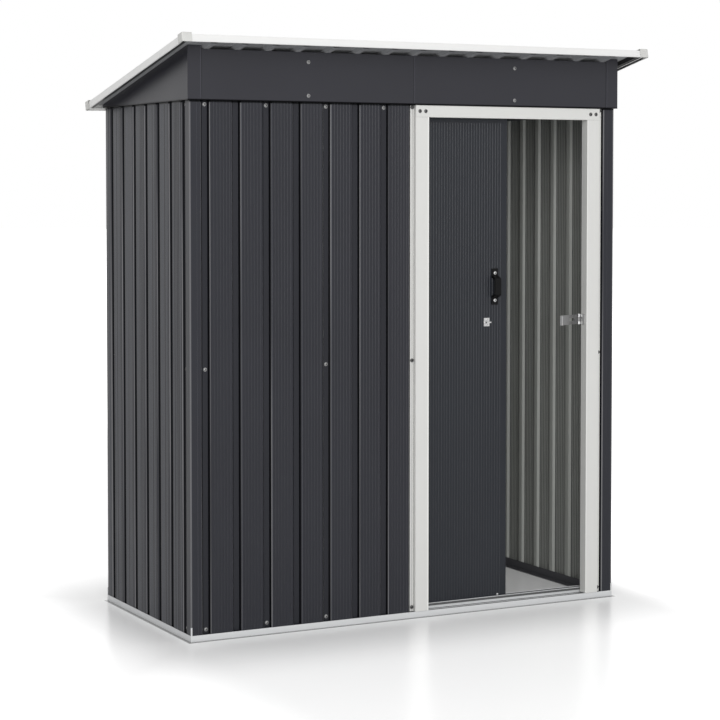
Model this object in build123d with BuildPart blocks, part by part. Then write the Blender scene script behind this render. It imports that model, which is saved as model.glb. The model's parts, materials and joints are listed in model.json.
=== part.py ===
from build123d import *
import math
import os

# Walls: outside size over the rib crests, and the height to the underside of the fascia
wall_width = 1526.0
wall_depth = 709.0
wall_height = 1634.5
sheet = 0.8
seat_gap = 0.2
sheet_head_gap = 0.5

# Ribbed wall sheet: a valley between wide crests, and fine grooves along each crest
rib_pitch = 100.0
rib_depth = 11.0
valley_floor = 17.0
rib_flank = 8.0
corner_valley = 52.5
groove_pitch = 10.5
groove_width = 3.4
groove_depth = 0.9
corner_bead = 23.0
bead_step = 1.2
back_shares = (4, 3, 3, 4)
roof_shares = (3, 4, 4, 3)

# Pent roof, highest at the front
roof_rise = 151.0
front_overhang = 107.0
back_overhang = 18.0
side_overhang = 66.0
roof_edge_height = 24.0
roof_edge_drop = 7.0
trim_flange = 24.0
trim_seat = 10.0
trim_hem = 2.4
drip_reach = 1.5
drip_height = 5.0
cap_thickness = 1.2
cap_length = 32.0
cap_rise = 4.0
cap_corner = 5.0
cap_softness = 2.0
fascia_proud = 8.0
gable_return = 44.0
eave_flange = 15.0
beam_width = 30.0
beam_height = 35.0

# Rails round the foot and the head of the walls
rail_sheet = 1.2
angle_sheet = 1.0
lip_height = 20.0
tab_width = 5.0
tab_height = 45.0
base_flange = 40.0
sill_height = 28.0
sill_foot = 25.0
head_rail_height = 23.0
head_rail_width = 22.3

# Doorway in the front wall
opening_width = 600.0
opening_to_corner = 106.0
jamb_face = 48.0
jamb_flange = 14.0
jamb_proud = 3.0
jamb_return = 29.0
header_drop = 2.0
header_height = 37.0

# Sliding leaf behind the front wall, standing part open
leaf_front = 41.0
leaf_thickness = 13.0
leaf_overlap = 25.0
leaf_head_lap = 8.0
leaf_bottom = 8.0
leaf_open_by = 309.0
leaf_hem = 14.0
leaf_groove_pitch = 10.0
leaf_rail_height = 22.0
stile_width = 20.0
track_wall = 1.0
track_gap = 5.0
track_top = 35.0
hanger_length = 40.0
hanger_height = 8.0
hanger_stem = 6.0
hanger_slot = 12.0
hanger_inset = 60.0
running_gap = 0.3
guide_clear = 0.5

# Pull handle, padlock staple and swinging hasp
handle_height = 118.0
handle_width = 23.0
handle_reach = 25.0
handle_bar = 7.0
handle_foot = 22.0
handle_foot_thickness = 3.5
handle_rise = 10.0
handle_bend = 6.0
handle_edge = 1.2
handle_inset = 46.0
handle_centre = 1050.0
lock_height = 935.0
staple_inset = 76.0
staple_width = 21.0
staple_height = 27.0
staple_thickness = 1.5
ear_width = 16.0
ear_thickness = 4.0
ear_reach = 17.5
ear_hole = 2.6
pivot_inset = 6.5
hinge_sheet = 1.3
hinge_reach = 24.0
hasp_length = 112.0
hasp_height = 32.0
hasp_thickness = 2.0
hasp_lip = 8.0
hasp_open_angle = 24.0
slot_length = 32.0
slot_height = 10.0
knuckle_radius = 4.5
knuckle_height = 15.0
pin_radius = 2.2

# Worked out from the sizes above
front_y = (front_overhang - back_overhang - wall_depth) / 2
back_y = front_y + wall_depth
half_width = wall_width / 2
slope = math.atan(roof_rise / wall_depth)
fascia_top = wall_height + roof_rise
floor_level = rail_sheet + seat_gap
panel_top = wall_height - sheet_head_gap
header_top = wall_height - header_drop
opening_top = header_top - header_height
leaf_top = opening_top + leaf_head_lap
lap_step = sheet + seat_gap
over_depth = rib_depth - lap_step
inner_face = rib_depth + sheet + seat_gap
opening_left = wall_width - opening_to_corner - opening_width
opening_right = wall_width - opening_to_corner
leaf_width = opening_width + 2 * leaf_overlap
leaf_left = opening_left - leaf_overlap - leaf_open_by
leaf_right = leaf_left + leaf_width
leaf_back = leaf_front + leaf_thickness
leaf_middle = leaf_front + leaf_thickness / 2
cheek = sheet + seat_gap

os.makedirs("parts", exist_ok=True)


# Each wall runs anticlockwise seen from above: its first corner, its direction and its inward direction
walls = {
    "front": (Vector(-half_width, front_y, 0), Vector(1, 0, 0), Vector(0, 1, 0), wall_width),
    "right": (Vector(half_width, front_y, 0), Vector(0, 1, 0), Vector(-1, 0, 0), wall_depth),
    "back": (Vector(half_width, back_y, 0), Vector(-1, 0, 0), Vector(0, -1, 0), wall_width),
    "left": (Vector(-half_width, back_y, 0), Vector(0, -1, 0), Vector(1, 0, 0), wall_depth),
}


def plan(wall, height):
    """Level plane at a height: x runs along the wall, y runs inward from its crests."""
    corner, along, inward, length = walls[wall]
    return Plane(origin=corner + Vector(0, 0, height), x_dir=along, z_dir=(0, 0, 1))


def cross(wall, distance):
    """Upright plane across the wall: x runs inward, y runs up, its normal runs along the wall."""
    corner, along, inward, length = walls[wall]
    return Plane(origin=corner + along * distance, x_dir=inward, z_dir=along)


def left_side(points, thickness):
    """The line that keeps a thickness to the left of points, mitred where they turn."""
    line = [Vector(*point) for point in points]
    runs = [(after - here).normalized() for here, after in zip(line, line[1:])]
    normals = [Vector(-run.Y, run.X) for run in runs]
    moved = [line[0] + normals[0] * thickness]
    for point, before, after in zip(line[1:-1], normals, normals[1:]):
        moved.append(point + (before + after) * (thickness / (1 + before.dot(after))))
    moved.append(line[-1] + normals[-1] * thickness)
    return [(point.X, point.Y) for point in moved]


def folded(plane, points, thickness=sheet):
    """Section of a sheet bent along points, with its thickness on their left."""
    with BuildSketch(plane) as section:
        with BuildLine():
            Polyline(*points, *reversed(left_side(points, thickness)), close=True)
        make_face()
    return section.sketch


def save(piece, name):
    piece.part.label = name
    export_step(piece.part, f"parts/{name}.step")


def grooves(start, end, depth=0.0, pitch=groove_pitch):
    """Fine V grooves along a flat, from one edge of it to the other."""
    count = int((end - start - groove_width) / pitch)
    first = (start + end) / 2 - (count - 1) * pitch / 2
    points = []
    for k in range(count):
        middle = first + k * pitch
        points.append((middle - groove_width / 2, depth))
        points.append((middle, depth + groove_depth))
        points.append((middle + groove_width / 2, depth))
    return points


def crest(start, end):
    """One raised rib crest with its two flanks left to the valleys beside it."""
    return [(start, 0.0)] + grooves(start, end) + [(end, 0.0)]


def ribbed(valleys, start_depth, end_depth):
    """Line of a ribbed sheet from its first valley to its last, with a lap flange in each."""
    half = valley_floor / 2
    lap = half - seat_gap
    points = [(valleys[0] - lap, start_depth), (valleys[0] + half, start_depth)]
    for here, after in zip(valleys, valleys[1:]):
        points += crest(here + half + rib_flank, after - half - rib_flank)
        if after is not valleys[-1]:
            points += [(after - half, rib_depth), (after + half, rib_depth)]
    points += [(valleys[-1] - half, end_depth), (valleys[-1] + lap, end_depth)]
    return points


def valley_grid(start, end):
    """Valley centres from start to end, as near the rib pitch as whole ribs allow."""
    count = round((end - start) / rib_pitch)
    return [start + k * (end - start) / count for k in range(count + 1)]


def sheet_splits(ribs, shares):
    """Ribs counted off where one sheet ends and the next begins, in proportion to their shares."""
    return [round(ribs * sum(shares[:k]) / sum(shares)) for k in range(len(shares) + 1)]


# Base rails: an outer lip that the sheets stand behind and a flange on the ground
track_in = leaf_front - track_gap - track_wall
track_out = leaf_back + track_gap + track_wall
front_flange = track_out + track_wall
lip_face = -seat_gap - rail_sheet


def base_rail(wall, lip_start, reach, flange_start, flange_end, tabs=False):
    corner, along, inward, length = walls[wall]
    with BuildPart() as rail:
        with BuildSketch(cross(wall, lip_start)):
            with Locations((lip_face, 0)):
                Rectangle(rail_sheet, lip_height, align=Align.MIN)
        extrude(amount=length - 2 * lip_start)
        with BuildSketch(cross(wall, flange_start)):
            with Locations((lip_face, 0)):
                Rectangle(reach - lip_face, rail_sheet, align=Align.MIN)
        extrude(amount=length - flange_start - flange_end)
        if tabs:
            for tab_start in (lip_start, length - lip_start - tab_width):
                with BuildSketch(cross(wall, tab_start)):
                    with Locations((lip_face, 0)):
                        Rectangle(rail_sheet, tab_height, align=Align.MIN)
                extrude(amount=tab_width)
    save(rail, f"base_rail_{wall}")


base_rail("front", lip_face, front_flange, 0, 0, tabs=True)
base_rail("back", lip_face, base_flange, 0, 0, tabs=True)
base_rail("right", 0, base_flange, front_flange + seat_gap, base_flange + seat_gap)
base_rail("left", 0, base_flange, base_flange + seat_gap, front_flange + seat_gap)

# Bottom track: an upright channel along the front that guides the leaf's foot
side_clear = inner_face + seat_gap
full_run = wall_width - 2 * side_clear
with BuildPart() as bottom_track:
    channel = [
        (track_in, track_top),
        (track_in, floor_level),
        (track_out, floor_level),
        (track_out, track_top),
    ]
    extrude(folded(cross("front", side_clear), channel, track_wall), amount=full_run)
save(bottom_track, "bottom_track")

# Sill rails: angles inside the foot of the other three walls
sill_angle = [(inner_face, sill_height), (inner_face, floor_level), (inner_face + sill_foot, floor_level)]
sill_edge = inner_face + sill_foot + seat_gap
with BuildPart() as sill_rails:
    side_run = wall_depth - sill_edge - track_out - seat_gap
    extrude(folded(cross("back", side_clear), sill_angle, angle_sheet), amount=full_run)
    extrude(folded(cross("left", sill_edge), sill_angle, angle_sheet), amount=side_run)
    extrude(folded(cross("right", track_out + seat_gap), sill_angle, angle_sheet), amount=side_run)
save(sill_rails, "sill_rails")

# Corner posts: one folded sheet round each corner, lapping the valley floor of both walls
post_flank = corner_valley - valley_floor / 2 - rib_flank
post_floor = corner_valley - valley_floor / 2
post_lap = corner_valley + valley_floor / 2 - seat_gap
post_leg = [
    (corner_bead, 0.0),
    (corner_bead + bead_step, bead_step),
    (post_flank, bead_step),
    (post_floor, over_depth),
    (post_lap, over_depth),
]
post_line = [(depth, run) for run, depth in reversed(post_leg)] + [(0.0, 0.0)] + post_leg
corner_names = {
    "front": "corner_front_left",
    "right": "corner_front_right",
    "back": "corner_back_right",
    "left": "corner_back_left",
}
for wall, name in corner_names.items():
    with BuildPart() as corner_post:
        extrude(folded(plan(wall, floor_level), post_line), amount=panel_top - floor_level)
    save(corner_post, name)

# Wall panels: ribbed sheets that lap one another in a valley
panel_run = panel_top - floor_level
jamb_valley = opening_left - jamb_face - jamb_flange / 2
front_valleys = valley_grid(corner_valley, jamb_valley)
front_split = math.ceil(len(front_valleys) / 2)
side_valleys = valley_grid(corner_valley, wall_depth - corner_valley)
back_valleys = valley_grid(corner_valley, wall_width - corner_valley)


def panel(wall, name, valleys, start_depth, end_depth):
    with BuildPart() as wall_panel:
        line = ribbed(valleys, start_depth, end_depth)
        extrude(folded(plan(wall, floor_level), line), amount=panel_run)
    save(wall_panel, name)


panel("front", "front_panel_1", front_valleys[: front_split + 1], rib_depth, rib_depth)
panel("front", "front_panel_2", front_valleys[front_split:], over_depth, over_depth)
panel("left", "side_panel_left", side_valleys, rib_depth, rib_depth)
panel("right", "side_panel_right", side_valleys, rib_depth, rib_depth)

back_splits = sheet_splits(len(back_valleys) - 1, back_shares)
for k, (first, last) in enumerate(zip(back_splits, back_splits[1:])):
    start_depth = rib_depth if k == 0 else over_depth
    panel("back", f"back_panel_{k + 1}", back_valleys[first : last + 1], start_depth, rib_depth)

# Head rails: channels inside the top of the walls; the back one slopes with the roof
head_in = inner_face
head_out = inner_face + head_rail_width
head_top = wall_height - seat_gap
head_foot = wall_height - head_rail_height
head_channel = [(head_out, head_top), (head_in, head_top), (head_in, head_foot), (head_out, head_foot)]
eave_channel = [
    (head_out, head_top + head_out * math.tan(slope)),
    (head_in, head_top + head_in * math.tan(slope)),
    (head_in, head_foot),
    (head_out, head_foot),
]
head_edge = head_out + seat_gap
rail_half = leaf_middle - head_edge
track_back = leaf_middle + rail_half + seat_gap
with BuildPart() as head_rails:
    side_run = wall_depth - head_edge - track_back
    extrude(folded(cross("front", side_clear), head_channel, angle_sheet), amount=full_run)
    extrude(folded(cross("back", side_clear), eave_channel, angle_sheet), amount=full_run)
    extrude(folded(cross("left", head_edge), head_channel, angle_sheet), amount=side_run)
    extrude(folded(cross("right", track_back), head_channel, angle_sheet), amount=side_run)
save(head_rails, "head_rails")

# Door jambs: a flange on the valley floor, a raised face and a return into the doorway
jamb_depth = over_depth - lap_step
jamb_left_line = [
    (opening_left - jamb_face - jamb_flange, jamb_depth),
    (opening_left - jamb_face, jamb_depth),
    (opening_left - jamb_face, -jamb_proud),
    (opening_left, -jamb_proud),
    (opening_left, jamb_return),
]
jamb_right_line = [
    (opening_right, jamb_return),
    (opening_right, -jamb_proud),
    (opening_right + jamb_face, -jamb_proud),
    (opening_right + jamb_face, jamb_depth),
    (opening_right + jamb_face + jamb_flange, jamb_depth),
]
jamb_foot = lip_height + seat_gap
jamb_run = header_top - cheek - jamb_foot


def door_jamb(line, name):
    with BuildPart() as jamb:
        extrude(folded(plan("front", jamb_foot), line), amount=jamb_run)
        with BuildSketch(plan("front", head_foot - seat_gap)):
            with Locations((opening_left - jamb_face, rib_depth)):
                Rectangle(opening_width + 2 * jamb_face, jamb_return, align=Align.MIN)
        extrude(amount=head_rail_height, mode=Mode.SUBTRACT)
    save(jamb, name)


door_jamb(jamb_left_line, "door_jamb_left")
door_jamb(jamb_right_line, "door_jamb_right")

# Door header: its face laps both jambs, its foot turns in over the opening
header_face = -jamb_proud - cheek
with BuildPart() as door_header:
    face_line = [(jamb_depth - seat_gap, header_top), (header_face, header_top), (header_face, opening_top)]
    face_start = opening_left - jamb_face
    extrude(folded(cross("front", face_start), face_line), amount=opening_width + 2 * jamb_face)
    with BuildSketch(cross("front", opening_left + seat_gap)):
        with Locations((header_face, opening_top)):
            Rectangle(jamb_return - header_face, sheet, align=Align.MIN)
    extrude(amount=opening_width - 2 * seat_gap)
save(door_header, "door_header")

# Top track: a channel with turned-in lips that the leaf hangs in
lips_level = leaf_top + track_gap
top_track_line = [
    (leaf_middle + hanger_slot / 2, lips_level),
    (leaf_middle + rail_half, lips_level),
    (leaf_middle + rail_half, head_top),
    (leaf_middle - rail_half, head_top),
    (leaf_middle - rail_half, lips_level),
    (leaf_middle - hanger_slot / 2, lips_level),
]
with BuildPart() as top_track:
    extrude(folded(cross("front", side_clear), top_track_line, track_wall), amount=full_run)
save(top_track, "top_track")

# Fascia: two folded sheets above the front wall, meeting at the middle
fascia_face = -fascia_proud
fascia_line = [
    (eave_flange, fascia_top - eave_flange * math.tan(slope)),
    (fascia_face, fascia_top - fascia_face * math.tan(slope)),
    (fascia_face, wall_height),
    (eave_flange * 2, wall_height),
]
fascia_start = fascia_face + seat_gap
fascia_run = half_width - fascia_start - seat_gap
with BuildPart() as fascia_left:
    extrude(folded(cross("front", fascia_start), fascia_line), amount=fascia_run)
save(fascia_left, "fascia_left")

with BuildPart() as fascia_right:
    extrude(folded(cross("front", half_width + seat_gap), fascia_line), amount=fascia_run)
save(fascia_right, "fascia_right")

# Gables: a wedge-shaped sheet over each side wall, wrapped round onto the front
gable_face = fascia_proud + cheek
crest_lift = (rib_depth - groove_depth) / math.cos(slope)


def roof_line(y):
    """Height of the roof's underside, in its valleys, at a distance y from the middle."""
    return fascia_top - (y - front_y) * math.tan(slope)


gable_front = front_y - gable_face
seat_front = front_y + 2 * eave_flange + seat_gap
seat_back = back_y - head_edge
for side, name in ((-1, "gable_left"), (1, "gable_right")):
    web = Plane(origin=(side * (half_width + gable_face), 0, 0), x_dir=(0, 1, 0), z_dir=(1, 0, 0))
    top_front = roof_line(gable_front) + crest_lift
    top_back = roof_line(back_y) + crest_lift
    with BuildPart() as gable:
        with BuildSketch(web):
            with BuildLine():
                Polyline(
                    (gable_front, wall_height),
                    (back_y, wall_height),
                    (back_y, top_back),
                    (gable_front, top_front),
                    close=True,
                )
            make_face()
        extrude(amount=-side * sheet)
        with BuildSketch(web):
            with BuildLine():
                Polyline(
                    (gable_front, top_front - sheet),
                    (back_y, top_back - sheet),
                    (back_y, top_back),
                    (gable_front, top_front),
                    close=True,
                )
            make_face()
        extrude(amount=-side * eave_flange)
        with BuildSketch(web):
            with BuildLine():
                Polyline(
                    (seat_front, wall_height),
                    (seat_back, wall_height),
                    (seat_back, wall_height + sheet),
                    (seat_front, wall_height + sheet),
                    close=True,
                )
            make_face()
        extrude(amount=-side * (gable_face + 2 * eave_flange))
        with BuildSketch(web):
            with BuildLine():
                Polyline(
                    (gable_front, wall_height),
                    (gable_front + sheet, wall_height),
                    (gable_front + sheet, top_front - sheet / 2),
                    (gable_front, top_front),
                    close=True,
                )
            make_face()
        extrude(amount=-side * gable_return)
    save(gable, name)

# Roof: s runs down the slope from the front wall's face, n stands square to the sheet
downhill = Vector(0, math.cos(slope), -math.sin(slope))
upright = Vector(0, math.sin(slope), math.cos(slope))
roof_origin = Vector(0, front_y, fascia_top)
edge_top = roof_edge_height - roof_edge_drop
edge_front = (front_overhang - roof_edge_drop * math.sin(slope)) / math.cos(slope)
edge_back = (wall_depth + back_overhang - edge_top * math.sin(slope)) / math.cos(slope)
edge_side = half_width + side_overhang
trim_inset = cap_thickness + seat_gap + drip_reach

# Ribbed roof sheets, run from the front edge to the back edge
sheet_level = rib_depth + sheet + seat_gap
sheet_ends = trim_inset + sheet + seat_gap
roof_start = edge_front - sheet_ends
roof_run = roof_start + edge_back - sheet_ends
roof_plane = Plane(
    origin=roof_origin + upright * sheet_level - downhill * roof_start,
    x_dir=(1, 0, 0),
    z_dir=downhill,
)
roof_valleys = [v - half_width for v in back_valleys]
roof_splits = sheet_splits(len(roof_valleys) - 1, roof_shares)
edge_valley = roof_valleys[-1] + (roof_valleys[1] - roof_valleys[0]) - valley_floor / 2
edge_flange = [
    (edge_valley - rib_flank, 0.0),
    (edge_valley, rib_depth),
    (edge_side - sheet_ends, rib_depth),
]
outer_crest = grooves(roof_valleys[-1] + valley_floor / 2 + rib_flank, edge_valley - rib_flank)
right_edge = [(roof_valleys[-1] + valley_floor / 2, rib_depth)]
right_edge += [(roof_valleys[-1] + valley_floor / 2 + rib_flank, 0.0)] + outer_crest + edge_flange
left_edge = [(-run, depth) for run, depth in reversed(right_edge)]
for k, (first, last) in enumerate(zip(roof_splits, roof_splits[1:])):
    start_depth = rib_depth if k == 0 else over_depth
    line = ribbed(roof_valleys[first : last + 1], start_depth, rib_depth)
    if k == 0:
        line = left_edge + line[1:]
    if k == len(roof_splits) - 2:
        line = line[:-1] + right_edge
    with BuildPart() as roof_panel:
        extrude(folded(roof_plane, line), amount=roof_run)
    save(roof_panel, f"roof_panel_{k + 1}")

# Roof trims: a white folded edge with a drip kicked outward, closed by a cap at each corner
trim_top = edge_top - cap_thickness - seat_gap
trim_line = [
    (trim_flange, trim_top),
    (0, trim_top),
    (0, drip_height - roof_edge_drop),
    (-drip_reach, -roof_edge_drop),
    (trim_hem, -roof_edge_drop),
    (trim_hem, -sheet),
    (trim_seat, -sheet),
]
front_s = trim_inset - edge_front
back_s = edge_back - trim_inset
side_x = edge_side - trim_inset
end_x = side_x - cap_corner + cap_thickness
side_gap = trim_flange + seat_gap
roof_edges = {
    "front": (roof_origin + downhill * front_s - Vector(end_x, 0, 0), downhill, 2 * end_x),
    "back": (roof_origin + downhill * back_s + Vector(end_x, 0, 0), downhill * -1, 2 * end_x),
    "right": (
        roof_origin + downhill * (front_s + side_gap) + Vector(side_x, 0, 0),
        Vector(-1, 0, 0),
        back_s - front_s - 2 * side_gap,
    ),
    "left": (
        roof_origin + downhill * (back_s - side_gap) - Vector(side_x, 0, 0),
        Vector(1, 0, 0),
        back_s - front_s - 2 * side_gap,
    ),
}
for edge, (start, inward, run) in roof_edges.items():
    with BuildPart() as roof_trim:
        extrude(folded(Plane(origin=start, x_dir=inward, z_dir=inward.cross(upright)), trim_line), amount=run)
    save(roof_trim, f"roof_trim_{edge}")

# Corner caps: one moulded rim all round the roof, of which only the four corners are kept
cap_foot = Plane(origin=roof_origin - upright * roof_edge_drop, x_dir=(1, 0, 0), z_dir=upright)
roof_middle = (edge_back - edge_front) / 2
roof_length = edge_front + edge_back
cap_height = roof_edge_height + cap_rise
cap_inside = cap_corner - cap_thickness
with BuildPart() as roof_caps:
    with BuildSketch(cap_foot):
        with Locations((0, roof_middle)):
            RectangleRounded(2 * edge_side, roof_length, cap_corner)
    extrude(amount=cap_height)
    fillet(roof_caps.faces().sort_by(Axis(roof_origin, upright))[-1].edges(), cap_softness)
    with BuildSketch(cap_foot):
        with Locations((0, roof_middle)):
            inner_length = roof_length - 2 * cap_thickness
            RectangleRounded(2 * (edge_side - cap_thickness), inner_length, cap_inside)
    extrude(amount=cap_height - cap_thickness, mode=Mode.SUBTRACT)
    with BuildSketch(cap_foot):
        with Locations((0, roof_middle)):
            Rectangle(2 * (edge_side - cap_length), roof_length)
            Rectangle(2 * edge_side, roof_length - 2 * cap_length)
    extrude(amount=cap_height, mode=Mode.SUBTRACT)
save(roof_caps, "roof_caps")

# Roof beam: a channel from gable to gable under the middle of the roof sheets
beam_half = half_width + gable_face - sheet - seat_gap
beam_s = wall_depth / math.cos(slope) / 2 - beam_width / 2
beam_plane = Plane(origin=roof_origin - Vector(beam_half, 0, 0), x_dir=downhill, z_dir=(1, 0, 0))
beam_line = [
    (beam_s + beam_width, -seat_gap),
    (beam_s, -seat_gap),
    (beam_s, -beam_height),
    (beam_s + beam_width, -beam_height),
]
with BuildPart() as roof_beam:
    extrude(folded(beam_plane, beam_line, rail_sheet), amount=2 * beam_half)
save(roof_beam, "roof_beam")

# Sliding leaf: a finely grooved sheet with both edges folded back
leaf_line = [(leaf_left, leaf_back), (leaf_left, leaf_front)]
leaf_line += grooves(leaf_left + leaf_hem, leaf_right - leaf_hem, leaf_front, leaf_groove_pitch)
leaf_line += [(leaf_right, leaf_front), (leaf_right, leaf_back)]
leaf_foot = leaf_bottom + cheek
with BuildPart() as door_leaf:
    extrude(folded(plan("front", leaf_foot), leaf_line), amount=leaf_top - cheek - leaf_foot)
save(door_leaf, "door_leaf")

# Channels that cap the leaf's head and foot
cap_front = leaf_front - cheek
cap_back = leaf_back + cheek
top_cap = [
    (cap_back, leaf_top - leaf_rail_height),
    (cap_back, leaf_top),
    (cap_front, leaf_top),
    (cap_front, leaf_top - leaf_rail_height),
]
foot_cap = [
    (cap_front, leaf_bottom + leaf_rail_height),
    (cap_front, leaf_bottom),
    (cap_back, leaf_bottom),
    (cap_back, leaf_bottom + leaf_rail_height),
]
with BuildPart() as door_top_rail:
    extrude(folded(cross("front", leaf_left), top_cap), amount=leaf_width)
save(door_top_rail, "door_top_rail")

with BuildPart() as door_bottom_rail:
    extrude(folded(cross("front", leaf_left), foot_cap), amount=leaf_width)
save(door_bottom_rail, "door_bottom_rail")

# Stiles: channels inside the leaf's two folded edges
stile_near = leaf_front + groove_depth + cheek
stile_foot = leaf_bottom + leaf_rail_height + seat_gap
stile_head = leaf_top - leaf_rail_height - seat_gap
with BuildPart() as door_stiles:
    for edge, turn in ((leaf_left + cheek, 1), (leaf_right - cheek, -1)):
        stile_line = [
            (edge + turn * stile_width, leaf_back),
            (edge, leaf_back),
            (edge, stile_near),
            (edge + turn * stile_width, stile_near),
        ]
        if turn < 0:
            stile_line.reverse()
        extrude(folded(plan("front", stile_foot), stile_line), amount=stile_head - stile_foot)
save(door_stiles, "door_stiles")

# Hangers in the top track and guides in the bottom track, near both ends of the leaf
hanger_spots = [leaf_left + hanger_inset, leaf_right - hanger_inset]
hanger_width = 2 * (rail_half - track_wall - guide_clear)
lip_level = lips_level + track_wall + running_gap
with BuildPart() as door_hangers:
    for spot in hanger_spots:
        with BuildSketch(cross("front", spot - hanger_length / 2)):
            with Locations((leaf_middle, lip_level)):
                Rectangle(hanger_width, hanger_height, align=(Align.CENTER, Align.MIN))
            with Locations((leaf_middle, leaf_top)):
                Rectangle(hanger_stem, lip_level - leaf_top, align=(Align.CENTER, Align.MIN))
        extrude(amount=hanger_length)
save(door_hangers, "door_hangers")

guide_foot = floor_level + track_wall + running_gap
guide_width = track_out - track_in - 2 * (track_wall + guide_clear)
with BuildPart() as door_guides:
    for spot in hanger_spots:
        with BuildSketch(cross("front", spot - hanger_length / 2)):
            with Locations((leaf_middle, guide_foot)):
                Rectangle(guide_width, leaf_bottom - guide_foot, align=(Align.CENTER, Align.MIN))
        extrude(amount=hanger_length)
save(door_guides, "door_guides")

# Pull handle: a bow on the leaf that stays clear of both jambs over the whole slide
handle_x = leaf_right - handle_inset
handle_low = handle_centre - handle_height / 2
handle_high = handle_centre + handle_height / 2
handle_tip = leaf_front - handle_reach
foot_face = leaf_front - handle_foot_thickness
bar_inside = handle_tip + handle_bar
rise_start = handle_foot + handle_rise
inner_start = handle_foot + handle_bar
inner_rise = rise_start + handle_bar / 2
with BuildPart() as door_handle:
    with BuildSketch(cross("front", handle_x - handle_width / 2)):
        with BuildLine():
            Polyline(
                (leaf_front, handle_low),
                (foot_face, handle_low),
                (foot_face, handle_low + handle_foot),
                (handle_tip, handle_low + rise_start),
                (handle_tip, handle_high - rise_start),
                (foot_face, handle_high - handle_foot),
                (foot_face, handle_high),
                (leaf_front, handle_high),
                (leaf_front, handle_high - inner_start),
                (bar_inside, handle_high - inner_rise),
                (bar_inside, handle_low + inner_rise),
                (leaf_front, handle_low + inner_start),
                close=True,
            )
        make_face()
    extrude(amount=handle_width)
    bends = door_handle.edges().filter_by(Axis.X).group_by(Axis.Y)[0]
    fillet(bends, radius=handle_bend)
    cheeks = door_handle.faces().filter_by(Axis.X)
    leaf_plane = front_y + leaf_front - seat_gap
    fillet(cheeks.edges().filter_by(lambda edge: edge.center().Y < leaf_plane), radius=handle_edge)
save(door_handle, "door_handle")

# Padlock staple: a small plate with a level ear that the hasp's slot goes over
staple_x = leaf_right - staple_inset
ear_tip = leaf_front - ear_reach
with BuildPart() as door_staple:
    with BuildSketch(cross("front", staple_x - staple_width / 2)):
        with Locations((leaf_front, lock_height)):
            Rectangle(staple_thickness, staple_height, align=(Align.MAX, Align.CENTER))
    extrude(amount=staple_width)
    with BuildSketch(plan("front", lock_height - ear_thickness / 2)):
        with Locations((staple_x, leaf_front)):
            Rectangle(ear_width, ear_reach, align=(Align.CENTER, Align.MAX))
        with Locations((staple_x, ear_tip + 2 * ear_hole)):
            Circle(ear_hole, mode=Mode.SUBTRACT)
    extrude(amount=ear_thickness)
save(door_staple, "door_staple")

# Hinge of the hasp, on the inner return of the right-hand jamb
pivot_x = opening_right - pivot_inset
pivot_y = jamb_return + knuckle_radius - seat_gap
leaf_x = opening_right - seat_gap
hinge_height = hasp_height + 2
gap_height = knuckle_height + 2 * running_gap
with BuildPart() as hasp_hinge:
    with BuildSketch(plan("front", lock_height - hinge_height / 2)):
        with Locations((leaf_x, pivot_y)):
            Rectangle(hinge_sheet, hinge_reach, align=Align.MAX)
        with Locations((pivot_x, pivot_y)):
            Circle(knuckle_radius)
            Rectangle(leaf_x - pivot_x, hinge_sheet, align=(Align.MIN, Align.CENTER))
    extrude(amount=hinge_height)
    with BuildSketch(plan("front", lock_height - gap_height / 2)):
        with Locations((pivot_x, pivot_y)):
            Circle(knuckle_radius + running_gap)
    extrude(amount=gap_height, mode=Mode.SUBTRACT)
    with BuildSketch(plan("front", lock_height - hinge_height / 2)):
        with Locations((pivot_x, pivot_y)):
            Circle(pin_radius)
    extrude(amount=hinge_height)
save(hasp_hinge, "hasp_hinge")

# Hasp: a slotted strap on the hinge pin, resting swung a little outward
swing = math.radians(hasp_open_angle)
strap_along = Vector(-math.cos(swing), -math.sin(swing), 0)
strap_back = Vector(-math.sin(swing), math.cos(swing), 0)
pivot = plan("front", lock_height).from_local_coords(Vector(pivot_x, pivot_y, 0))
strap_plane = Plane(origin=pivot, x_dir=strap_along, z_dir=strap_back)
slot_middle = pivot_x - (opening_right + leaf_overlap - staple_inset)
strap_start = 2 * knuckle_radius
with BuildPart() as hasp_strap:
    with BuildSketch(strap_plane):
        with Locations((strap_start, 0)):
            Rectangle(hasp_length - strap_start, hasp_height, align=(Align.MIN, Align.CENTER))
        with Locations((knuckle_radius / 2, 0)):
            Rectangle(strap_start, knuckle_height, align=(Align.MIN, Align.CENTER))
        with Locations((slot_middle, 0)):
            Rectangle(slot_length, slot_height, mode=Mode.SUBTRACT)
    extrude(amount=hasp_thickness / 2, both=True)
    with BuildSketch(strap_plane):
        with Locations((hasp_length, 0)):
            Rectangle(hasp_thickness, hasp_height, align=(Align.MAX, Align.CENTER))
    extrude(amount=-hasp_lip)
    with BuildSketch(plan("front", lock_height - knuckle_height / 2)):
        with Locations((pivot_x, pivot_y)):
            Circle(knuckle_radius)
    extrude(amount=knuckle_height)
    with BuildSketch(plan("front", lock_height - knuckle_height / 2)):
        with Locations((pivot_x, pivot_y)):
            Circle(pin_radius + running_gap)
    extrude(amount=knuckle_height, mode=Mode.SUBTRACT)
save(hasp_strap, "hasp_strap")
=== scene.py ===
"""Finishes, screws and studio for a pent-roofed storage shed of ribbed sheet metal."""

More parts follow.
